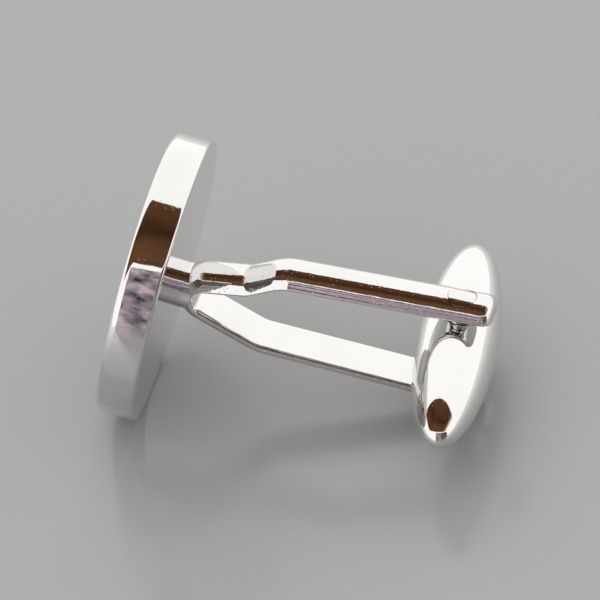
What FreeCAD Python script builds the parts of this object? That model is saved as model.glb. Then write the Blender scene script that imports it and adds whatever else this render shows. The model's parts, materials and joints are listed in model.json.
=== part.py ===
import FreeCAD, Part
import math
import os

import Sketcher
from FreeCAD import Placement, Rotation, Vector

# A cufflink with a swivelling bar, lying as it does on a table: on the rim of its disc and on the end of one arm.
# Each piece is drawn in the post's own axes, from the middle of the fork's bend: X runs along the post towards the
# bar, Z along the pivot and Y along the bar when it is crosswise. The last step turns the bar a little from crosswise,
# as it is in the photograph, and lays all the pieces on Z = 0.

SIZES = {
    "disc_diameter": 16.0,
    "disc_thickness": 2.25,
    "front_edge": 0.45,
    "back_edge": 0.2,
    "stud_diameter": 2.6,
    "stud_length": 0.19,
    "fork_lean": 5.1,
    "strip_width": 2.5,
    "strip_crown": 1.04,
    "strip_side": 0.2,
    "bend_inside": 0.76,
    "upper_start": 2.33,
    "upper_start_gap": 1.18,
    "upper_crank_end": 4.19,
    "upper_crank_gap": 2.24,
    "lower_crank_end": 3.1,
    "lower_crank_gap": 2.18,
    "crank_round": 2.0,
    "pivot_distance": 13.95,
    "pivot_gap": 2.68,
    "arm_tail": 1.9,
    "arm_corner": 0.65,
    "arm_edge": 0.35,
    "rivet_diameter": 1.55,
    "rivet_flats": 1.2,
    "pivot_play": 0.05,
    "bar_turn": 6.0,
    "bar_length": 16.2,
    "bar_diameter": 4.5,
    "bar_tip": 0.67,
    "bar_shoulder": 4.0,
    "pocket_length": 6.6,
    "pocket_width": 1.9,
    "pocket_floor": 1.15,
    "cover_depth": 0.9,
    "cover_play": 0.02,
    "spring_thickness": 0.2,
    "spring_play": 0.02,
}

doc = FreeCAD.newDocument("cufflink")
sheet = doc.addObject("Spreadsheet::Sheet", "Sizes")
for row, (alias, number) in enumerate(SIZES.items(), start=1):
    sheet.set(f"A{row}", alias)
    sheet.set(f"B{row}", str(number))
    sheet.setAlias(f"B{row}", alias)
doc.recompute()


class Size:
    """A size worked out from the sheet: its value now, and the expression that keeps it tied to the sheet."""

    def __init__(self, value, text):
        self.value = value
        self.text = text

    def __add__(self, other):
        other = as_size(other)
        return Size(self.value + other.value, f"({self.text} + {other.text})")

    def __sub__(self, other):
        other = as_size(other)
        return Size(self.value - other.value, f"({self.text} - {other.text})")

    def __mul__(self, other):
        other = as_size(other)
        return Size(self.value * other.value, f"({self.text} * {other.text})")

    def __truediv__(self, other):
        other = as_size(other)
        return Size(self.value / other.value, f"({self.text} / {other.text})")

    def __neg__(self):
        return self * -1


def as_size(number):
    return number if isinstance(number, Size) else Size(number, str(number))


def given(alias):
    return Size(float(sheet.get(alias)), f"Sizes.{alias}")


# Sketches and features: every corner and radius that is drawn is a dimension bound to the sheet. In a sketch,
# geometry -1 is the horizontal axis, and that axis starts at the origin.

POINT_KINDS = ["edge", "start", "end", "centre"]
START, END, CENTRE = [POINT_KINDS.index(kind) for kind in ("start", "end", "centre")]
ORIGIN = (-1, START)


def new_body(label):
    body = doc.addObject("PartDesign::Body", label)
    body.Label = label
    return body


def new_sketch(body, name, plane):
    sketch = body.newObject("Sketcher::SketchObject", name)
    support = next(f for f in body.Origin.OriginFeatures if f.Role == plane)
    sketch.AttachmentSupport = (support, "")
    sketch.MapMode = "FlatFace"
    return sketch


def constrain(sketch, *terms):
    return sketch.addConstraint(Sketcher.Constraint(*terms))


def hold(sketch, kind, *terms, size):
    """Adds a dimension and binds it."""
    index = constrain(sketch, kind, *terms, size.value)
    sketch.setExpression(f"Constraints[{index}]", size.text)


def place(sketch, geo, point, x=None, y=None):
    """Dimensions a point from the sketch's origin, across or along or both."""
    for kind, size in (("DistanceX", x), ("DistanceY", y)):
        if size is not None:
            hold(sketch, kind, *ORIGIN, geo, point, size=as_size(size))


def vector(corner):
    return Vector(as_size(corner[0]).value, as_size(corner[1]).value, 0)


def bulged(start, end, radius, side):
    """The arc of up to half a turn between two points that bulges to the left (1) or the right (-1) on the way."""
    way = end - start
    left = Vector(-way.y, way.x, 0).normalize() * side
    rise = radius - math.sqrt(max(0.0, radius ** 2 - (way.Length / 2) ** 2))
    return Part.Arc(start, (start + end) / 2 + left * rise, end)


def nearer_end(sketch, geo, spot):
    """An arc runs anticlockwise however it was drawn, so its ends are told apart by where they lie."""
    return min((START, END), key=lambda point: (sketch.getPoint(geo, point) - spot).Length)


def draw(sketch, corners, arcs=None):
    """Draws a closed outline. A side is straight unless arcs gives its radius, or None for half a turn, and bulge."""
    arcs = arcs or {}
    spots = [vector(corner) for corner in corners]
    sides = []
    for number, (start, end) in enumerate(zip(spots, spots[1:] + spots[:1])):
        if number in arcs:
            radius, bulge = arcs[number]
            curve = bulged(start, end, radius.value if radius else (end - start).Length / 2, bulge)
        else:
            curve = Part.LineSegment(start, end)
        sides.append(sketch.addGeometry(curve))
    for number, spot in enumerate(spots):
        before, after = sides[number - 1], sides[number]
        constrain(sketch, "Coincident", before, nearer_end(sketch, before, spot), after, nearer_end(sketch, after, spot))
        place(sketch, after, nearer_end(sketch, after, spot), *corners[number])
    for number, (radius, _) in arcs.items():
        if radius:
            hold(sketch, "Radius", sides[number], size=radius)
        else:
            place(sketch, sides[number], CENTRE, x=corners[number][0])


def draw_circle(sketch, x, radius):
    geo = sketch.addGeometry(Part.Circle(Vector(x.value, 0, 0), Vector(0, 0, 1), radius.value))
    place(sketch, geo, CENTRE, x, 0)
    hold(sketch, "Radius", geo, size=radius)


def feature(body, kind, name, profile, **settings):
    made = body.newObject(f"PartDesign::{kind}", name)
    made.Profile = profile
    for key, value in settings.items():
        setattr(made, key, value)
    body.Tip = made
    doc.recompute()
    return made


def cut_through(body, name, profile):
    return feature(body, "Pocket", name, profile, Type="ThroughAll", Midplane=True)


def round_edges(body, name, base, numbers, radius):
    rounding = body.newObject("PartDesign::Fillet", name)
    rounding.Base = (base, [f"Edge{number}" for number in numbers])
    rounding.setExpression("Radius", radius.text)
    body.Tip = rounding


# Face disc: a thick plate turned about the post, its edges rounded, more so at the front. The stud stands on its back.

strip_half = given("strip_width") / 2
strip_crown = given("strip_crown")
strip_side = given("strip_side")
bend_inside = given("bend_inside")
disc_back = -(bend_inside + strip_crown + given("stud_length"))
front_edge = given("front_edge")
back_edge = given("back_edge")
disc_rim = given("disc_diameter") / 2


def make_disc():
    body = new_body("face_disc")
    section = new_sketch(body, "disc_section", "XZ_Plane")
    front = disc_back - given("disc_thickness")
    draw(section, [(front, 0), (disc_back, 0), (disc_back, disc_rim - back_edge), (disc_back - back_edge, disc_rim),
                   (front + front_edge, disc_rim), (front, disc_rim - front_edge)],
         arcs={2: (back_edge, -1), 4: (front_edge, -1)})
    feature(body, "Revolution", "disc_turned", section, ReferenceAxis=(section, ["H_Axis"]), Angle=360)
    return body


# Fork: one strip, domed outside and flat inside, bent into a U. The upper arm leaves the bend rising a little and is
# then cranked outward; the lower arm opens from the bend at once. Both run on to the pivot, opening a little.

pivot_distance = given("pivot_distance")
pivot_gap = given("pivot_gap")
arm_end = pivot_distance + given("arm_tail")
arm_corner = given("arm_corner")
arm_edge = given("arm_edge")
dome_rise = strip_crown - strip_side
dome_radius = (strip_half * strip_half + dome_rise * dome_rise) / (dome_rise * 2)
TRIM = 0.5
TOUCHING = 1e-4


def arm_corners(side, beyond):
    """The corners of an arm's inside line: its cranks, then its end or a point beyond it."""
    if side > 0:
        start = [(given("upper_start"), given("upper_start_gap"))]
        crank, gap = given("upper_crank_end"), given("upper_crank_gap")
    else:
        start = []
        crank, gap = given("lower_crank_end"), given("lower_crank_gap")
    slope = (pivot_gap - gap) / (pivot_distance - crank)
    end_gap = pivot_gap + slope * (given("arm_tail") + beyond)
    corners = start + [(crank, gap), (arm_end + beyond, end_gap)]
    return [(x, y * side) for x, y in corners]


def draw_arm(sketch, corners, side):
    """Draws an arm's inside line: a quarter of the bend or so, then straight runs joined by rounded cranks."""
    bend = bend_inside.value
    crank_round = given("crank_round")
    spots = [vector(corner) for corner in corners]
    swing = math.atan2(abs(spots[0].y), spots[0].x) + math.acos(min(1.0, bend / spots[0].Length))
    bottom = Vector(-bend, 0, 0)
    meetings = [Vector(bend * math.cos(swing), side * bend * math.sin(swing), 0)]
    chain = [sketch.addGeometry(bulged(bottom, meetings[0], bend, side))]
    for spot, after in zip(spots, spots[1:]):
        into = (spot - meetings[-1]).normalize()
        out = (after - spot).normalize()
        turn = math.atan2(into.x * out.y - into.y * out.x, into.dot(out))
        cut = crank_round.value * math.tan(abs(turn) / 2)
        begin, finish = spot - into * cut, spot + out * cut
        chain.append(sketch.addGeometry(Part.LineSegment(meetings[-1], begin)))
        chain.append(sketch.addGeometry(bulged(begin, finish, crank_round.value, math.copysign(1, -turn))))
        meetings += [begin, finish]
    chain.append(sketch.addGeometry(Part.LineSegment(meetings[-1], spots[-1])))

    bend_arc, last_run = chain[0], chain[-1]
    constrain(sketch, "Coincident", bend_arc, CENTRE, *ORIGIN)
    constrain(sketch, "PointOnObject", bend_arc, nearer_end(sketch, bend_arc, bottom), ORIGIN[0])
    hold(sketch, "Radius", bend_arc, size=bend_inside)
    for first, second, spot in zip(chain, chain[1:], meetings):
        constrain(sketch, "Tangent", first, nearer_end(sketch, first, spot), second, nearer_end(sketch, second, spot))
    for number, corner in enumerate(corners[:-1]):
        run, crank, next_run = chain[2 * number + 1:2 * number + 4]
        hold(sketch, "Radius", crank, size=crank_round)
        point = sketch.addGeometry(Part.Point(vector(corner)), True)
        place(sketch, point, START, *corner)
        constrain(sketch, "PointOnObject", point, START, run)
        constrain(sketch, "PointOnObject", point, START, next_run)
    place(sketch, last_run, END, *corners[-1])


def make_fork():
    body = new_body("fork")
    section = new_sketch(body, "strip_section", "XY_Plane")
    inside, outside = -bend_inside, -(bend_inside + strip_side)
    draw(section, [(inside, strip_half), (inside, -strip_half), (outside, -strip_half), (outside, strip_half)],
         arcs={2: (dome_radius, 1)})
    for name, side in (("upper_arm", 1), ("lower_arm", -1)):
        path = new_sketch(body, f"{name}_path", "XZ_Plane")
        draw_arm(path, arm_corners(side, beyond=TRIM), side)
        doc.recompute()
        feature(body, "AdditivePipe", name, section, Spine=(path, []))

    behind, beyond, beside = arm_end - arm_corner, arm_end + TRIM * 2, strip_half + TRIM
    ends = new_sketch(body, "arm_ends", "XY_Plane")
    draw(ends, [(behind, strip_half), (arm_end, strip_half - arm_corner), (arm_end, arm_corner - strip_half),
                (behind, -strip_half), (behind, -beside), (beyond, -beside), (beyond, beside), (behind, beside)],
         arcs={0: (arm_corner, 1), 2: (arm_corner, 1)})
    cut_through(body, "arm_ends_cut", ends)
    hole = new_sketch(body, "rivet_hole", "XY_Plane")
    draw_circle(hole, pivot_distance, given("rivet_diameter") / 2)
    holed = cut_through(body, "rivet_holes", hole)
    round_edges(body, "arm_tips", holed, arm_tip_edges(holed.Shape), arm_edge)
    return body


def arm_tip_edges(shape):
    """The outer edges round the end of each arm."""
    numbers = []
    for number, edge in enumerate(shape.Edges, start=1):
        middle = edge.valueAt((edge.FirstParameter + edge.LastParameter) / 2)
        ends = [vertex.Point.x for vertex in edge.Vertexes]
        outside = abs(middle.z) > (pivot_gap + strip_side).value
        on_end = min(ends) > (arm_end - arm_corner).value - TOUCHING
        across = max(ends) - min(ends) < TOUCHING and middle.x < arm_end.value - TOUCHING
        if outside and on_end and not across:
            numbers.append(number)
    return numbers


# Base stud: a short round neck on the disc's back, hollowed at its end to seat the bend of the fork.


def make_stud(fork):
    neck = doc.addObject("Part::Cylinder", "stud_neck")
    neck.setExpression("Radius", (given("stud_diameter") / 2).text)
    neck.setExpression("Height", (given("stud_length") + strip_crown - strip_side / 2).text)
    stud = doc.addObject("Part::Cut", "base_stud")
    stud.Base = neck
    stud.Tool = fork
    return neck, stud


# Pivot rivet: a round pin through both arms, its ends ground to the arms' domes and four flats milled at its middle,
# square to the bar as it lies.

bar_turn = given("bar_turn")


def make_rivet():
    body = new_body("pivot_rivet")
    shank = new_sketch(body, "rivet_shank", "XY_Plane")
    draw_circle(shank, pivot_distance, given("rivet_diameter") / 2)
    pin = feature(body, "Pad", "rivet_pin", shank, Midplane=True)
    pin.setExpression("Length", ((pivot_gap + strip_crown) * 2).text)

    ends = new_sketch(body, "rivet_ends", "YZ_Plane")
    for side in (1, -1):
        shoulder = (pivot_gap + strip_side) * side
        beyond = (pivot_gap + strip_crown + TRIM) * side
        draw(ends, [(strip_half, shoulder), (strip_half, beyond), (-strip_half, beyond), (-strip_half, shoulder)],
             arcs={3: (dome_radius, side)})
    cut_through(body, "rivet_ground", ends)

    flats = new_sketch(body, "rivet_flats", "XY_Plane")
    flats.setExpression("AttachmentOffset.Base.x", pivot_distance.text)
    flats.setExpression("AttachmentOffset.Rotation.Angle", bar_turn.text)
    for reach in (given("rivet_flats") / 2, given("rivet_diameter")):
        draw(flats, [(-reach, -reach), (reach, -reach), (reach, reach), (-reach, reach)])
    milled = feature(body, "Pocket", "rivet_milled", flats, Midplane=True)
    milled.setExpression("Length", given("pocket_width").text)
    return body


# Bar: a torpedo, a long oval turned about its own length. Most of it is the hull; a milled pocket on the side
# that faces the disc holds the detent spring, and a cover flush with the hull closes it.

bar_radius = given("bar_diameter") / 2
slot_reach = (given("pocket_length") - given("pocket_width")) / 2
DIAGONAL = math.sqrt(0.5)


def turn_torpedo(body):
    """Half an oval in plan, turned about the bar's length: a long flank, a shoulder and a tip that meets it at 45 degrees."""
    outline = new_sketch(body, "bar_outline", "XY_Plane")
    half = given("bar_length") / 2
    tip, shoulder = given("bar_tip"), given("bar_shoulder")
    tip_middle = half - tip
    below = (shoulder - tip) * DIAGONAL
    middle = tip_middle - below
    drop = below + bar_radius
    flank = (shoulder * shoulder - middle * middle - drop * drop) / ((shoulder - drop) * 2)
    tip_side, tip_end = tip * DIAGONAL, tip_middle + tip * DIAGONAL
    onward = flank / (flank - shoulder)
    flank_side = bar_radius - flank + onward * (flank - drop)
    flank_end = onward * middle
    x_tip, x_flank = pivot_distance + tip_side, pivot_distance + flank_side
    draw(outline, [(pivot_distance, half), (pivot_distance, -half), (x_tip, -tip_end), (x_flank, -flank_end),
                   (x_flank, flank_end), (x_tip, tip_end)],
         arcs={1: (tip, -1), 2: (shoulder, -1), 3: (flank, -1), 4: (shoulder, -1), 5: (tip, -1)})
    feature(body, "Revolution", "bar_turned", outline, ReferenceAxis=(outline, ["Edge1"]), Angle=360)


def draw_slot(sketch, play):
    """The pocket's mouth seen along the post, smaller all round by the play."""
    reach = given("pocket_width") / 2 - play
    draw(sketch, [(slot_reach, reach), (-slot_reach, reach), (-slot_reach, -reach), (slot_reach, -reach)],
         arcs={1: (None, -1), 3: (None, -1)})


def make_hull():
    body = new_body("toggle_hull")
    turn_torpedo(body)
    pocket = new_sketch(body, "spring_pocket", "YZ_Plane")
    draw_slot(pocket, 0)
    pocket.setExpression("AttachmentOffset.Base.z", (pivot_distance + given("pocket_floor")).text)
    feature(body, "Pocket", "spring_pocket_cut", pocket, Type="ThroughAll")
    hole = new_sketch(body, "pivot_hole", "XY_Plane")
    draw_circle(hole, pivot_distance, given("rivet_diameter") / 2 + given("pivot_play"))
    cut_through(body, "pivot_hole_cut", hole)
    return body


def make_cover():
    body = new_body("toggle_cover")
    turn_torpedo(body)
    around = given("bar_length")
    sides = new_sketch(body, "cover_sides", "YZ_Plane")
    draw_slot(sides, given("cover_play"))
    draw(sides, [(-around, -around), (around, -around), (around, around), (-around, around)])
    sides.setExpression("AttachmentOffset.Base.z", pivot_distance.text)
    cut_through(body, "cover_sides_cut", sides)
    inside = new_sketch(body, "cover_inside", "XY_Plane")
    face = pivot_distance - bar_radius + given("cover_depth")
    far = pivot_distance + given("bar_diameter")
    draw(inside, [(face, -around), (far, -around), (far, around), (face, around)])
    cut_through(body, "cover_inside_cut", inside)
    return body


# Detent spring: a bowed leaf in the pocket. Its middle bears on a flat of the rivet, its ends on the pocket's floor.


def make_spring():
    body = new_body("detent_spring")
    thick = given("spring_thickness")
    floor = pivot_distance + given("pocket_floor")
    bow = given("pocket_floor") - given("rivet_flats") / 2 - given("spring_play") - thick
    bow_radius = (slot_reach * slot_reach + bow * bow) / (bow * 2)
    leaf = new_sketch(body, "leaf_bow", "XY_Plane")
    draw(leaf, [(floor - thick, slot_reach), (floor, slot_reach), (floor, -slot_reach), (floor - thick, -slot_reach)],
         arcs={1: (bow_radius, -1), 3: (bow_radius, 1)})
    strip = feature(body, "Pad", "leaf", leaf, Midplane=True)
    strip.setExpression("Length", (given("pocket_width") - given("cover_play") * 4).text)
    return body


fork = make_fork()
neck, stud = make_stud(fork)
disc = make_disc()
rivet = make_rivet()
hull = make_hull()
cover = make_cover()
spring = make_spring()
pieces = [disc, stud, fork, rivet, hull, cover, spring]

# Lying: the post is pitched until the disc's rim and the end of the lower arm both touch the table. The fork leans
# a little in the stud, turned about its bend, so the disc is pitched by that much more. The bar is turned on its pivot.

ACROSS = Vector(0, 1, 0)
UP = Vector(0, 0, 1)
lean = Rotation(ACROSS, given("fork_lean").value)
rim_middle = lean.multVec(Vector((disc_back - back_edge).value, 0, (back_edge - disc_rim).value))
arm_end_x, arm_end_z = arm_corners(-1, beyond=0)[-1]
tip_middle = Vector((arm_end_x - arm_edge).value, 0, (arm_end_z - strip_crown + arm_edge).value)
between = tip_middle - rim_middle
drop = math.asin((back_edge - arm_edge).value / between.Length)
pitched = Rotation(ACROSS, math.degrees(math.atan2(between.z, between.x) + drop))


def lay(shift):
    """Puts every piece in its place on the table, moved by a shift."""
    post = Placement(shift, pitched)
    leaning = post.multiply(Placement(Vector(), lean))
    swivelled = post.multiply(Placement(Vector(), Rotation(UP, bar_turn.value), Vector(pivot_distance.value, 0, 0)))
    for piece in (fork, rivet):
        piece.Placement = post
    for piece in (hull, cover, spring):
        piece.Placement = swivelled
    disc.Placement = leaning
    neck.Placement = leaning.multiply(Placement(Vector(disc_back.value, 0, 0), Rotation(ACROSS, 90)))
    doc.recompute()
    return post


lay(Vector())
box = Part.makeCompound([piece.Shape for piece in pieces]).optimalBoundingBox()
post = lay(Vector(-box.Center.x, -box.Center.y, -box.ZMin))

for item in doc.Objects:
    if any(word in item.State for word in ("Invalid", "Error")):
        raise RuntimeError(f"{item.Label} failed: {item.State}")
for piece in pieces:
    if piece.Shape.isNull() or not piece.Shape.isValid() or len(piece.Shape.Solids) != 1:
        raise RuntimeError(f"{piece.Label} is not one sound solid")

os.makedirs("parts", exist_ok=True)
for piece in pieces:
    piece.Shape.exportStep(f"parts/{piece.Label}.step")
print("pivot at", post.multVec(Vector(pivot_distance.value, 0, 0)), "along", pitched.multVec(UP))
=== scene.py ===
import json
import math

import bpy
from mathutils import Matrix, Vector


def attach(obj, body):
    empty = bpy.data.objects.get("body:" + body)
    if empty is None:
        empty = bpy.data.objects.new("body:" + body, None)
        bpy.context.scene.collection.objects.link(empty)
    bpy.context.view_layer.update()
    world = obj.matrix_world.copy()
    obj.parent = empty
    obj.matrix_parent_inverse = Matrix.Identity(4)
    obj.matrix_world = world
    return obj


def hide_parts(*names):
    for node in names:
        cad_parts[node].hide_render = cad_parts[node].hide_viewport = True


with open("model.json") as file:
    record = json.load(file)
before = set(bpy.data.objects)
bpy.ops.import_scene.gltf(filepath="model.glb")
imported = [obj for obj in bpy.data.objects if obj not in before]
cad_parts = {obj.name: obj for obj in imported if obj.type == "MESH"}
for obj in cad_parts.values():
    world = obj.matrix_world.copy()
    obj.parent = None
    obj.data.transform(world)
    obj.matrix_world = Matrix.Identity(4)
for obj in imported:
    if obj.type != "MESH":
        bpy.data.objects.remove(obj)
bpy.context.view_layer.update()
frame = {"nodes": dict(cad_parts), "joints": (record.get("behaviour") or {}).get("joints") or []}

# Face disc: the thick round plate that shows on the outside of the cuff. It is brass, turned with softly
# broken edges, buffed to a mirror and plated. The fork stands on its back with a slight lean, so the disc is
# tipped from the post by that much.

MM = 0.001
MERGE_WITHIN = 0.0002 * MM
DISC_RADIUS = 8.0 * MM
DISC_THICKNESS = 2.25 * MM
DISC_FRONT_EDGE = 0.45 * MM
DISC_BACK_EDGE = 0.2 * MM
DISC_BACK = 1.99 * MM
DISC_LEAN = 5.1
PIVOT_DISTANCE = 13.95 * MM
ALONG_POST = Vector((1, 0, 0))
ACROSS = Vector((0, 1, 0))
UP_PIVOT = Vector((0, 0, 1))

PLATE_BRIGHT = (0.82, 0.81, 0.8)
PLATE_DULL = (0.76, 0.75, 0.74)
NO_GRAIN = (1, 1, 1)
LINE_SCALE = 700
PIT_SCALE = 5200
PIT_LIMITS = (0.05, 0.2)
PATCH_SCALE = 260
PATCH_LIMITS = (0.35, 0.75)
RIPPLE_SCALE = 2600
MARK_DEPTH = 0.002 * MM

pivot = Vector(frame["joints"][0]["pos_m"])
pivot_axis = Vector(frame["joints"][0]["axis"])
post_axis = ACROSS.cross(pivot_axis)
pivot_frame = Matrix((post_axis, ACROSS, pivot_axis)).transposed().to_4x4()
pivot_frame.translation = pivot
post_frame = pivot_frame @ Matrix.Translation(-PIVOT_DISTANCE * ALONG_POST)


def start_point(name, place):
    """Begins a piece as a single point, selected in edit mode."""
    bpy.ops.object.select_all(action="DESELECT")
    bpy.ops.mesh.primitive_plane_add(size=MM, enter_editmode=True)
    bpy.context.object.name = name
    bpy.ops.mesh.merge(type="CENTER")
    bpy.ops.transform.translate(value=place)
    return bpy.context.object


def run(way):
    """Extrudes what is selected straight on."""
    bpy.ops.mesh.extrude_region_move(TRANSFORM_OT_translate={"value": way})


def turn(degrees, centre, axis, steps):
    """Extrudes what is selected round an axis, anticlockwise as seen from the axis's head."""
    bpy.ops.mesh.spin(steps=steps, angle=-math.radians(degrees), center=centre, axis=axis)


def lathe(axis, steps):
    """Turns the drawn outline right round an axis into a closed body."""
    bpy.ops.mesh.select_all(action="SELECT")
    turn(360, (0, 0, 0), axis, steps)
    close_body()


def join_ends():
    """Selects all that is drawn and merges the points that meet."""
    bpy.ops.mesh.select_all(action="SELECT")
    bpy.ops.mesh.remove_doubles(threshold=MERGE_WITHIN)


def close_body():
    """Merges meeting points, turns the faces outward and leaves edit mode."""
    join_ends()
    bpy.ops.mesh.normals_make_consistent(inside=False)
    bpy.ops.object.mode_set(mode="OBJECT")


def pick(piece):
    bpy.ops.object.select_all(action="DESELECT")
    piece.select_set(True)
    bpy.context.view_layer.objects.active = piece


def place(piece, matrix):
    """Moves a piece from the axes it was drawn in to its place, and keeps that place in its mesh."""
    pick(piece)
    piece.matrix_world = matrix
    bpy.ops.object.transform_apply(location=True, rotation=True, scale=True)


def modify(piece, kind, **settings):
    """Gives a piece a modifier and applies it."""
    pick(piece)
    bpy.ops.object.modifier_add(type=kind)
    modifier = piece.modifiers[-1]
    for key, value in settings.items():
        setattr(modifier, key, value)
    bpy.ops.object.modifier_apply(modifier=modifier.name)


def buff(piece, sharp_degrees):
    """Smooth shading that keeps flat faces flat and leaves edges sharper than the angle crisp."""
    pick(piece)
    bpy.ops.object.shade_smooth_by_angle(angle=math.radians(sharp_degrees))
    modify(piece, "WEIGHTED_NORMAL", keep_sharp=True)


def turn_disc():
    front = -DISC_BACK - DISC_THICKNESS
    front_flat = DISC_RADIUS - DISC_FRONT_EDGE
    back_flat = DISC_RADIUS - DISC_BACK_EDGE
    disc = start_point("disc", (front, 0, 0))
    run((0, 0, front_flat))
    turn(90, (front + DISC_FRONT_EDGE, 0, front_flat), ACROSS, steps=10)
    run((DISC_THICKNESS - DISC_FRONT_EDGE - DISC_BACK_EDGE, 0, 0))
    turn(90, (-DISC_BACK - DISC_BACK_EDGE, 0, back_flat), ACROSS, steps=8)
    run((0, 0, -back_flat))
    lathe(ALONG_POST, steps=192)
    return disc


def link(tree, source, target):
    tree.links.new(source, target)


def noise(tree, where, scale, detail):
    """A soft random pattern."""
    pattern = tree.nodes.new("ShaderNodeTexNoise")
    pattern.inputs["Scale"].default_value = scale
    pattern.inputs["Detail"].default_value = detail
    link(tree, where, pattern.inputs["Vector"])
    return pattern.outputs["Fac"]


def spread(tree, value, low, high):
    """Spreads the values between two limits over 0 to 1."""
    node = tree.nodes.new("ShaderNodeMapRange")
    node.inputs["From Min"].default_value = low
    node.inputs["From Max"].default_value = high
    link(tree, value, node.inputs["Value"])
    return node


def combine(tree, operation, *sources):
    """Reckons with the values of a few sockets."""
    node = tree.nodes.new("ShaderNodeMath")
    node.operation = operation
    for source, target in zip(sources, node.inputs):
        link(tree, source, target)
    return node.outputs["Value"]


def make_polish_marks():
    """The traces of buffing on plated metal: fine lines one way, sparse pits, a ripple and patches of haze."""
    group = bpy.data.node_groups.new("polish_marks", "ShaderNodeTree")
    group.interface.new_socket(name="Line Stretch", in_out="INPUT", socket_type="NodeSocketVector")
    for name in ("Lines", "Pits", "Ripple", "Shine", "Haze"):
        group.interface.new_socket(name=name, in_out="INPUT", socket_type="NodeSocketFloat")
    for name in ("Roughness", "Height", "Patches"):
        group.interface.new_socket(name=name, in_out="OUTPUT", socket_type="NodeSocketFloat")
    given = group.nodes.new("NodeGroupInput").outputs
    result = group.nodes.new("NodeGroupOutput").inputs
    where = group.nodes.new("ShaderNodeTexCoord").outputs["Object"]

    stretch = group.nodes.new("ShaderNodeVectorMath")
    stretch.operation = "MULTIPLY"
    link(group, where, stretch.inputs[0])
    link(group, given["Line Stretch"], stretch.inputs[1])
    lines = noise(group, stretch.outputs["Vector"], LINE_SCALE, detail=4)

    cells = group.nodes.new("ShaderNodeTexVoronoi")
    cells.inputs["Scale"].default_value = PIT_SCALE
    link(group, where, cells.inputs["Vector"])
    pits = spread(group, cells.outputs["Distance"], *PIT_LIMITS)
    pits.interpolation_type = "SMOOTHSTEP"
    pits.inputs["To Min"].default_value = -1
    pits.inputs["To Max"].default_value = 0

    ripple = noise(group, where, RIPPLE_SCALE, detail=2)
    scored = combine(group, "MULTIPLY", lines, given["Lines"])
    pitted = combine(group, "MULTIPLY_ADD", pits.outputs["Result"], given["Pits"], scored)
    rippled = combine(group, "MULTIPLY_ADD", ripple, given["Ripple"], pitted)
    link(group, rippled, result["Height"])

    patches = spread(group, noise(group, where, PATCH_SCALE, detail=5), *PATCH_LIMITS).outputs["Result"]
    link(group, patches, result["Patches"])
    hazy = combine(group, "MULTIPLY_ADD", patches, given["Haze"], given["Shine"])
    link(group, hazy, result["Roughness"])
    return group


polish_marks = make_polish_marks()


def plated(name, bright, dull, stretch, lines, pits, ripple, shine, haze):
    """Polished plating: a mirror whose tint, gloss and surface vary a little with the marks of buffing."""
    material = bpy.data.materials.new(name)
    material.use_nodes = True
    tree = material.node_tree
    metal = tree.nodes["Principled BSDF"]
    metal.inputs["Metallic"].default_value = 1
    marks = tree.nodes.new("ShaderNodeGroup")
    marks.node_tree = polish_marks
    for socket, amount in (("Line Stretch", stretch), ("Lines", lines), ("Pits", pits),
                           ("Ripple", ripple), ("Shine", shine), ("Haze", haze)):
        marks.inputs[socket].default_value = amount
    tint = tree.nodes.new("ShaderNodeMix")
    tint.data_type = "RGBA"
    tint.inputs["A"].default_value = (*bright, 1)
    tint.inputs["B"].default_value = (*dull, 1)
    link(tree, marks.outputs["Patches"], tint.inputs["Factor"])
    link(tree, tint.outputs["Result"], metal.inputs["Base Color"])
    link(tree, marks.outputs["Roughness"], metal.inputs["Roughness"])
    relief = tree.nodes.new("ShaderNodeBump")
    relief.inputs["Distance"].default_value = MARK_DEPTH
    link(tree, marks.outputs["Height"], relief.inputs["Height"])
    link(tree, relief.outputs["Normal"], metal.inputs["Normal"])
    return material


disc = turn_disc()
place(disc, post_frame @ Matrix.Rotation(math.radians(DISC_LEAN), 4, ACROSS))
buff(disc, sharp_degrees=30)
disc.data.materials.append(
    plated("disc_plating", PLATE_BRIGHT, PLATE_DULL, NO_GRAIN,
           lines=0.3, pits=0.6, ripple=0.8, shine=0.02, haze=0.04))
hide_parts("face_disc")
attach(disc, "post")

# Base stud: the short neck that joins the fork to the disc's back. It is brass, turned, soldered at both ends
# and plated with the rest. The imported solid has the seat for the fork's bend, so it stays as it is.

STUD_BRIGHT = (0.8, 0.79, 0.78)
STUD_DULL = (0.72, 0.71, 0.7)

stud = frame["nodes"]["base_stud"]
stud.data.materials.clear()
stud.data.materials.append(
    plated("stud_plating", STUD_BRIGHT, STUD_DULL, NO_GRAIN,
           lines=0.3, pits=1.2, ripple=2.5, shine=0.05, haze=0.1))

# Fork: one brass strip, domed outside and flat inside, with softly rounded edges and tips, bent into a U. The
# upper arm leaves the bend rising a little and is then cranked outward, and the lower arm opens at once. The
# holes for the rivet go through both.

STRIP_HALF = 1.25 * MM
STRIP_CROWN = 1.04 * MM
STRIP_SIDE = 0.2 * MM
SOFT_EDGE = 0.6 * MM
SOFT_EDGE_TURN = 25
TIGHT_EDGE = 0.15 * MM
BEND_INSIDE = 0.76 * MM
CRANK_ROUND = 2.0 * MM
ARM_TAIL = 1.9 * MM
ARM_CORNER = 0.65 * MM
ARM_EDGE = 0.6 * MM
PIVOT_GAP = 2.68 * MM
UPPER_CRANKS = [(2.33 * MM, 1.18 * MM), (4.19 * MM, 2.24 * MM)]
LOWER_CRANKS = [(3.1 * MM, 2.18 * MM)]
RIVET_RADIUS = 0.775 * MM
RIVET_PLAY = 0.03 * MM
PIN_REACH = 2 * PIVOT_GAP
TIP_STEPS = 12
SELECT_WITHIN = 0.001 * MM
GRAIN_ALONG_ARMS = (1, 14, 14)

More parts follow.
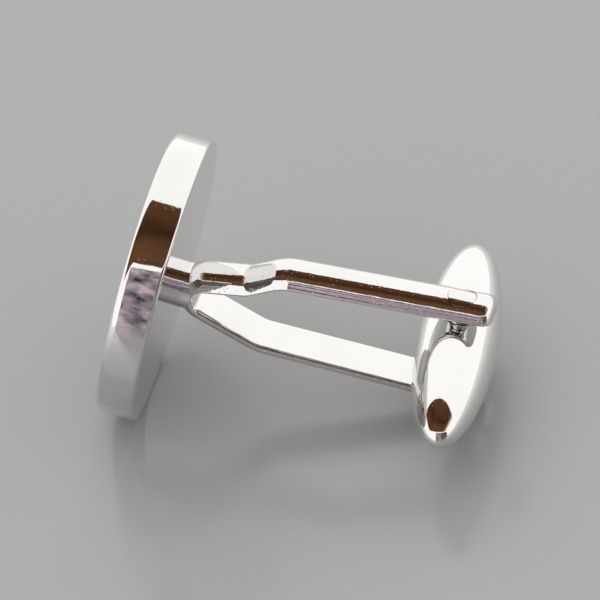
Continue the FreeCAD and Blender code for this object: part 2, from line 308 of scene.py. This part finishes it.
dome_rise = STRIP_CROWN - STRIP_SIDE
dome_radius = (STRIP_HALF ** 2 + dome_rise ** 2) / (2 * dome_rise)
dome_turn = 2 * math.degrees(math.asin(STRIP_HALF / dome_radius))


def draw_strip_section():
    """The strip's outline across, drawn at the root of an arm's tip: flat at the bottom and domed on top."""
    tight_turn = 90 - SOFT_EDGE_TURN
    lean = math.radians(SOFT_EDGE_TURN)
    edge_rise = SOFT_EDGE * (1 - math.cos(lean)) + TIGHT_EDGE * math.cos(lean)
    flat = STRIP_HALF - SOFT_EDGE * math.sin(lean) - TIGHT_EDGE * (1 - math.sin(lean))
    tight_y = STRIP_HALF - TIGHT_EDGE
    at = -ARM_CORNER
    strip = start_point("fork_strip", (at, -flat, 0))
    run((0, 2 * flat, 0))
    turn(SOFT_EDGE_TURN, (at, flat, SOFT_EDGE), ALONG_POST, steps=4)
    turn(tight_turn, (at, tight_y, edge_rise), ALONG_POST, steps=6)
    run((0, 0, STRIP_SIDE - edge_rise))
    turn(dome_turn, (at, 0, STRIP_CROWN - dome_radius), ALONG_POST, steps=96)
    run((0, 0, edge_rise - STRIP_SIDE))
    turn(tight_turn, (at, -tight_y, edge_rise), ALONG_POST, steps=6)
    turn(SOFT_EDGE_TURN, (at, -flat, SOFT_EDGE), ALONG_POST, steps=4)
    join_ends()
    return strip


def draw_tip():
    """Draws the section on to the end of the arm, rounding its corners and its outer edge, and closes it."""
    at, width, height = -ARM_CORNER, STRIP_HALF, STRIP_CROWN
    for step in range(1, TIP_STEPS + 1):
        angle = math.radians(90 * step / TIP_STEPS)
        next_at = ARM_CORNER * (math.sin(angle) - 1)
        next_width = STRIP_HALF - ARM_CORNER * (1 - math.cos(angle))
        into_edge = max(0.0, next_at + ARM_EDGE)
        next_height = STRIP_CROWN - ARM_EDGE + math.sqrt(ARM_EDGE ** 2 - into_edge ** 2)
        run((next_at - at, 0, 0))
        shrink = (1, next_width / width, next_height / height)
        bpy.ops.transform.resize(value=shrink, center_override=(0, 0, 0))
        at, width, height = next_at, next_width, next_height
    bpy.ops.mesh.edge_face_add()


def strip_moves(cranks):
    """The runs and turns along an arm's inside line, from its tip to the bottom of the bend."""
    first, last = Vector(cranks[0]), Vector(cranks[-1])
    at_pivot = Vector((PIVOT_DISTANCE, PIVOT_GAP))
    opening = (at_pivot - last).normalized()
    end = at_pivot + opening * ARM_TAIL / opening.x
    swing = math.atan2(first.y, first.x) + math.acos(min(1.0, BEND_INSIDE / first.length))
    bend_start = BEND_INSIDE * Vector((math.cos(swing), math.sin(swing)))
    points = [end, *(Vector(crank) for crank in reversed(cranks)), bend_start]
    moves, used = [], ARM_CORNER
    for before, at, after in zip(points, points[1:], points[2:]):
        into, out = at - before, after - at
        degrees = math.degrees(math.atan2(into.cross(out), into.dot(out)))
        rounded = CRANK_ROUND * math.tan(math.radians(abs(degrees)) / 2)
        moves.append((into.length - used - rounded, degrees, CRANK_ROUND))
        used = rounded
    moves.append(((bend_start - first).length - used, 180 - math.degrees(swing), BEND_INSIDE))
    return moves, end, math.atan2(opening.y, opening.x)


def draw_arm(moves):
    """Draws the section back from the tip's root: for each move a straight run, then a turn."""
    spot, heading = Vector((-ARM_CORNER, 0, 0)), Vector((-1, 0, 0))
    for length, degrees, radius in moves:
        run(heading * length)
        spot = spot + heading * length
        left = Vector((-heading.z, 0, heading.x))
        middle = spot + left * math.copysign(radius, degrees)
        turn(degrees, middle, -ACROSS, steps=max(10, round(abs(degrees) / 2)))
        around = Matrix.Rotation(math.radians(degrees), 3, -ACROSS)
        spot = middle + around @ (spot - middle)
        heading = around @ heading


def select_section(strip):
    """Selects the section at the tip's root again."""
    bpy.ops.mesh.select_all(action="DESELECT")
    bpy.ops.object.mode_set(mode="OBJECT")
    for point in strip.data.vertices:
        point.select = abs(point.co.x + ARM_CORNER) < SELECT_WITHIN and point.co.z > -SELECT_WITHIN
    bpy.ops.object.mode_set(mode="EDIT")


def bend_arm(cranks, half_turn):
    strip = draw_strip_section()
    moves, end, opening = strip_moves(cranks)
    draw_arm(moves)
    select_section(strip)
    draw_tip()
    close_body()
    tip_place = Matrix.Translation((end.x, 0, end.y)) @ Matrix.Rotation(-opening, 4, ACROSS)
    place(strip, Matrix.Rotation(half_turn, 4, ALONG_POST) @ tip_place)
    return strip


def cut(piece, cutter, operation):
    """Cuts a piece with another body, which is used up."""
    modify(piece, "BOOLEAN", object=cutter, operation=operation, solver="EXACT")
    bpy.data.objects.remove(cutter)


def make_pin(radius, distance):
    """A plain round pin along the pivot, longer than the arms are apart: the rivet's blank, or a drill."""
    pin = start_point("pin", (0, 0, -PIN_REACH))
    run((radius, 0, 0))
    run((0, 0, 2 * PIN_REACH))
    run((-radius, 0, 0))
    lathe(UP_PIVOT, steps=96)
    place(pin, Matrix.Translation(distance * ALONG_POST))
    return pin


def bend_fork():
    fork = bend_arm(UPPER_CRANKS, 0)
    lower = bend_arm(LOWER_CRANKS, math.pi)
    pick(lower)
    fork.select_set(True)
    bpy.context.view_layer.objects.active = fork
    bpy.ops.object.join()
    bpy.ops.object.mode_set(mode="EDIT")
    close_body()
    cut(fork, make_pin(RIVET_RADIUS + RIVET_PLAY, PIVOT_DISTANCE), "DIFFERENCE")
    return fork


fork = bend_fork()
place(fork, post_frame)
buff(fork, sharp_degrees=40)
fork.data.materials.append(
    plated("fork_plating", PLATE_BRIGHT, PLATE_DULL, GRAIN_ALONG_ARMS,
           lines=0.6, pits=2.5, ripple=2.5, shine=0.025, haze=0.05))
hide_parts("fork")
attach(fork, "post")

# Pivot rivet: the pin that the bar swivels on. It is steel, set through both arms and ground flush with their
# domes, so that only a fine ring is left to see. Four flats milled at its middle, square to the bar, take the
# spring.

RIVET_FLATS = 0.6 * MM
FLATS_REACH = 0.95 * MM
RIVET_EDGE = 0.12 * MM
RIVET_BRIGHT = (0.8, 0.79, 0.78)
RIVET_DULL = (0.72, 0.71, 0.7)
BAR_TURN = 6.0


def make_ground_block():
    """A block as high as the arms at the pivot and domed like them at both ends, to grind the rivet with."""
    shoulder = PIVOT_GAP + STRIP_SIDE
    middle = PIVOT_GAP + STRIP_CROWN - dome_radius
    block = start_point("ground_block", (-STRIP_HALF, STRIP_HALF, -shoulder))
    run((0, 0, 2 * shoulder))
    turn(dome_turn, (-STRIP_HALF, 0, middle), ALONG_POST, steps=64)
    run((0, 0, -2 * shoulder))
    turn(dome_turn, (-STRIP_HALF, 0, -middle), ALONG_POST, steps=64)
    join_ends()
    bpy.ops.mesh.edge_face_add()
    run((2 * STRIP_HALF, 0, 0))
    close_body()
    return block


def mill_flats(rivet):
    """Takes four flats off the middle of the rivet."""
    for quarter in range(4):
        bpy.ops.object.select_all(action="DESELECT")
        bpy.ops.mesh.primitive_cube_add(size=2 * FLATS_REACH, location=(RIVET_FLATS + FLATS_REACH, 0, 0))
        tool = bpy.context.object
        bpy.ops.object.transform_apply(location=True, rotation=False, scale=False)
        place(tool, Matrix.Rotation(math.radians(90 * quarter + BAR_TURN), 4, UP_PIVOT))
        cut(rivet, tool, "DIFFERENCE")


def soften(piece, width, sharp_degrees):
    """Breaks the edges that are sharper than an angle with a small round."""
    modify(piece, "BEVEL", width=width, segments=3, limit_method="ANGLE", angle_limit=math.radians(sharp_degrees))


rivet = make_pin(RIVET_RADIUS, 0)
rivet.name = "rivet"
mill_flats(rivet)
cut(rivet, make_ground_block(), "INTERSECT")
soften(rivet, RIVET_EDGE, sharp_degrees=40)
place(rivet, pivot_frame)
buff(rivet, sharp_degrees=40)
rivet.data.materials.append(
    plated("rivet_plating", RIVET_BRIGHT, RIVET_DULL, GRAIN_ALONG_ARMS,
           lines=0.6, pits=1.2, ripple=1.5, shine=0.03, haze=0.06))
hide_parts("pivot_rivet")
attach(rivet, "post")

# Toggle hull: the torpedo bar that is turned crosswise behind the cuff. It is brass, turned to a long ellipse,
# buffed and plated. A slot milled in the side that faces the disc takes the spring, and a hole across it the
# rivet.

BAR_HALF = 8.1 * MM
BAR_RADIUS = 2.25 * MM
POCKET_HALF = 0.95 * MM
POCKET_REACH = 2.35 * MM
POCKET_FLOOR = 1.15 * MM
PIVOT_PLAY = 0.05 * MM
GRAIN_ALONG_BAR = (12, 1, 12)

bar_frame = pivot_frame @ Matrix.Rotation(math.radians(BAR_TURN), 4, UP_PIVOT)


def turn_torpedo(name):
    """Half a circle drawn out into half an ellipse along the bar, then turned about the bar."""
    bar = start_point(name, (0, -BAR_RADIUS, 0))
    turn(180, (0, 0, 0), UP_PIVOT, steps=128)
    bpy.ops.mesh.select_all(action="SELECT")
    bpy.ops.transform.resize(value=(1, BAR_HALF / BAR_RADIUS, 1), center_override=(0, 0, 0))
    lathe(ACROSS, steps=128)
    return bar


def make_slot_block(half_width, far_end):
    """A block with round ends, as wide as the spring's slot, from outside the bar to a depth in it."""
    start = -2 * BAR_RADIUS
    block = start_point("slot_block", (start, -POCKET_REACH, -half_width))
    run((0, 2 * POCKET_REACH, 0))
    turn(180, (start, POCKET_REACH, 0), ALONG_POST, steps=24)
    run((0, -2 * POCKET_REACH, 0))
    turn(180, (start, -POCKET_REACH, 0), ALONG_POST, steps=24)
    join_ends()
    bpy.ops.mesh.edge_face_add()
    run((far_end - start, 0, 0))
    close_body()
    return block


hull = turn_torpedo("hull")
cut(hull, make_slot_block(POCKET_HALF, POCKET_FLOOR), "DIFFERENCE")
cut(hull, make_pin(RIVET_RADIUS + PIVOT_PLAY, 0), "DIFFERENCE")
place(hull, bar_frame)
buff(hull, sharp_degrees=30)
hull.data.materials.append(
    plated("bar_plating", PLATE_BRIGHT, PLATE_DULL, GRAIN_ALONG_BAR,
           lines=0.3, pits=0.6, ripple=0.8, shine=0.02, haze=0.04))
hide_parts("toggle_hull")
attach(hull, "bar")

# Toggle cover: the strip that closes the spring's slot, flush with the hull. It is cut from the same brass,
# pressed in with hardly any play and buffed over with the bar, so that only its outline shows.

COVER_PLAY = 0.02 * MM
COVER_DEPTH = 0.9 * MM
COVER_BRIGHT = (0.8, 0.79, 0.78)
COVER_DULL = (0.74, 0.73, 0.72)

cover = turn_torpedo("cover")
cut(cover, make_slot_block(POCKET_HALF - COVER_PLAY, COVER_DEPTH - BAR_RADIUS), "INTERSECT")
place(cover, bar_frame)
buff(cover, sharp_degrees=30)
cover.data.materials.append(
    plated("cover_plating", COVER_BRIGHT, COVER_DULL, GRAIN_ALONG_BAR,
           lines=0.4, pits=0.8, ripple=1.0, shine=0.03, haze=0.05))
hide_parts("toggle_cover")
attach(cover, "bar")

# Detent spring: a bowed leaf of rolled steel strip, shut in the slot behind the cover, where it bears on the
# rivet's flats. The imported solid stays, with the grain of rolling along its length.

SPRING_BRIGHT = (0.52, 0.52, 0.54)
SPRING_DULL = (0.42, 0.42, 0.44)
ROLLED_GRAIN = (20, 1, 20)

spring = frame["nodes"]["detent_spring"]
spring.data.materials.clear()
spring.data.materials.append(
    plated("spring_steel", SPRING_BRIGHT, SPRING_DULL, ROLLED_GRAIN,
           lines=1.0, pits=0.2, ripple=0.3, shine=0.22, haze=0.12))

# Stage: a plain pale table in a soft white surround. Glowing cards, which are no lamps, paint reflections of a
# brown ceiling and darker walls beside the camera into the metal; only the metal's reflections see them. The
# camera looks down on the cufflink from beside the bar.

FLOOR_SIDE = 3.0
FLOOR_COLOUR = (0.29, 0.29, 0.287)
FLOOR_ROUGHNESS = 0.18
CEILING_HEIGHT = 1.0
CEILING_SPAN = (-1.9, 1.15)
CEILING_END = 1.8
CEILING_DEPTH = (-0.88, 0.2)
CEILING_GLOW = ((0.045, 0.02, 0.01), (0.15, 0.066, 0.03))
CEILING_END_GLOW = ((0.1, 0.044, 0.02), (0.9, 0.75, 0.58))
WALL_DISTANCE = 1.0
WALL_HEIGHT = 1.0
CAMERA_CARD_AZIMUTHS = (-12, 35)
CAMERA_CARD_GLOW = ((0.035, 0.04, 0.065), (0.62, 0.5, 0.54))
SIDE_CARD_AZIMUTHS = (35, 70)
SIDE_CARD_GLOW = ((0.07, 0.055, 0.045), (0.16, 0.14, 0.115))
BLOTCH_LIMITS = (0.36, 0.64)
LAMP_SIZE = (1.4, 0.5)
LAMP_PLACE = (-0.35, 1.1, 0.8)
LAMP_WATTS = 6.0
SURROUND_COLOUR = (1, 0.995, 0.985)
SURROUND_STRENGTH = 1.2


def make_floor():
    bpy.ops.object.select_all(action="DESELECT")
    bpy.ops.mesh.primitive_plane_add(size=FLOOR_SIDE)
    floor = bpy.context.object
    floor.name = "floor"
    material = bpy.data.materials.new("table_top")
    material.use_nodes = True
    top = material.node_tree.nodes["Principled BSDF"]
    top.inputs["Base Color"].default_value = (*FLOOR_COLOUR, 1)
    top.inputs["Roughness"].default_value = FLOOR_ROUGHNESS
    floor.data.materials.append(material)


def blotches(tree, where, scale):
    """Soft patches of a card's two colours, the mottle in its painted reflection."""
    return spread(tree, noise(tree, where, scale, detail=3), *BLOTCH_LIMITS).outputs["Result"]


def left_to_right(tree, where):
    """An even change of colour across a card, which is one unit wide in its own axes."""
    parts = tree.nodes.new("ShaderNodeSeparateXYZ")
    link(tree, where, parts.inputs["Vector"])
    from_left = combine(tree, "ADD", parts.outputs["X"])
    from_left.node.inputs[1].default_value = 0.5
    return from_left


def glow_card(name, dark, light, scale=None):
    """Makes the active plane a card that only reflections see, and that glows between two colours: a painted
    reflection.

    They lie in blotches of a scale, or change from left to right where no scale is given.
    """
    material = bpy.data.materials.new(name)
    material.use_nodes = True
    tree = material.node_tree
    tree.nodes.clear()
    where = tree.nodes.new("ShaderNodeTexCoord").outputs["Object"]
    colour = tree.nodes.new("ShaderNodeMix")
    colour.data_type = "RGBA"
    colour.inputs["A"].default_value = (*dark, 1)
    colour.inputs["B"].default_value = (*light, 1)
    pattern = blotches(tree, where, scale) if scale else left_to_right(tree, where)
    link(tree, pattern, colour.inputs["Factor"])
    glow = tree.nodes.new("ShaderNodeEmission")
    link(tree, colour.outputs["Result"], glow.inputs["Color"])
    out = tree.nodes.new("ShaderNodeOutputMaterial")
    link(tree, glow.outputs["Emission"], out.inputs["Surface"])
    card = bpy.context.object
    card.name = name
    card.data.materials.append(material)
    card.visible_camera = False
    card.visible_diffuse = False
    card.visible_shadow = False


def wall_plane(azimuths):
    """An upright plane on the camera's side, between two azimuths seen from the cufflink."""
    left, right = (WALL_DISTANCE * math.tan(math.radians(azimuth)) for azimuth in azimuths)
    middle = ((left + right) / 2, -WALL_DISTANCE, WALL_HEIGHT / 2)
    bpy.ops.object.select_all(action="DESELECT")
    bpy.ops.mesh.primitive_plane_add(size=1, location=middle, rotation=(math.radians(90), 0, 0))
    bpy.ops.transform.resize(value=(right - left, 1, WALL_HEIGHT))


def level_plane(left, right):
    """A level plane over the cufflink, as deep as the ceiling."""
    near, far = CEILING_DEPTH
    middle = ((left + right) / 2, (near + far) / 2, CEILING_HEIGHT)
    bpy.ops.object.select_all(action="DESELECT")
    bpy.ops.mesh.primitive_plane_add(size=1, location=middle)
    bpy.ops.transform.resize(value=(right - left, far - near, 1))


make_floor()
# Each card below glows though it is no lamp, and paints a reflection, with its glints and mottle, into the metal.
level_plane(*CEILING_SPAN)
glow_card("ceiling_reflection_card", *CEILING_GLOW, scale=1.8)
level_plane(CEILING_SPAN[1], CEILING_END)
glow_card("ceiling_end_reflection_card", *CEILING_END_GLOW)
wall_plane(CAMERA_CARD_AZIMUTHS)
glow_card("camera_side_reflection_card", *CAMERA_CARD_GLOW, scale=6.0)
wall_plane(SIDE_CARD_AZIMUTHS)
glow_card("side_reflection_card", *SIDE_CARD_GLOW, scale=2.0)

lamp = bpy.data.lights.new("far_lamp", "AREA")
lamp.shape = "RECTANGLE"
lamp.size, lamp.size_y = LAMP_SIZE
lamp.energy = LAMP_WATTS
far_lamp = bpy.data.objects.new("far_lamp", lamp)
bpy.context.scene.collection.objects.link(far_lamp)
far_lamp.location = LAMP_PLACE
far_lamp.visible_glossy = False
far_lamp.rotation_euler = Vector(LAMP_PLACE).to_track_quat("Z", "Y").to_euler()

world = bpy.data.worlds.new("surround")
bpy.context.scene.world = world
world.use_nodes = True
surround = world.node_tree.nodes["Background"]
surround.inputs["Color"].default_value = (*SURROUND_COLOUR, 1)
surround.inputs["Strength"].default_value = SURROUND_STRENGTH

ELEVATION = math.radians(38.8247)
AZIMUTH = math.radians(20.8374)
ROLL = math.radians(10.2595)
PIXELS_PER_METRE = 18222.3
ORIGIN_PIXEL = Vector((314.989, 393.722))
IMAGE_SIDE = 600
CAMERA_DISTANCE = 0.9
SENSOR = 36.0


def make_camera():
    """A camera that shows the origin at its pixel and lengths at their scale."""
    reach = math.cos(ELEVATION)
    away = Vector((reach * math.sin(AZIMUTH), -reach * math.cos(AZIMUTH), math.sin(ELEVATION)))
    level = Vector((math.cos(AZIMUTH), math.sin(AZIMUTH), 0))
    rise = away.cross(level)
    right = level * math.cos(ROLL) - rise * math.sin(ROLL)
    top = level * math.sin(ROLL) + rise * math.cos(ROLL)
    middle = (Vector((IMAGE_SIDE, IMAGE_SIDE)) / 2 - ORIGIN_PIXEL) / PIXELS_PER_METRE
    target = right * middle.x - top * middle.y
    data = bpy.data.cameras.new("camera")
    data.sensor_width = SENSOR
    data.lens = PIXELS_PER_METRE * CAMERA_DISTANCE * SENSOR / IMAGE_SIDE
    camera = bpy.data.objects.new("camera", data)
    bpy.context.scene.collection.objects.link(camera)
    camera.matrix_world = Matrix((right, top, away)).transposed().to_4x4()
    camera.location = target + away * CAMERA_DISTANCE
    bpy.context.scene.camera = camera


make_camera()
bpy.context.scene.view_settings.view_transform = "Standard"
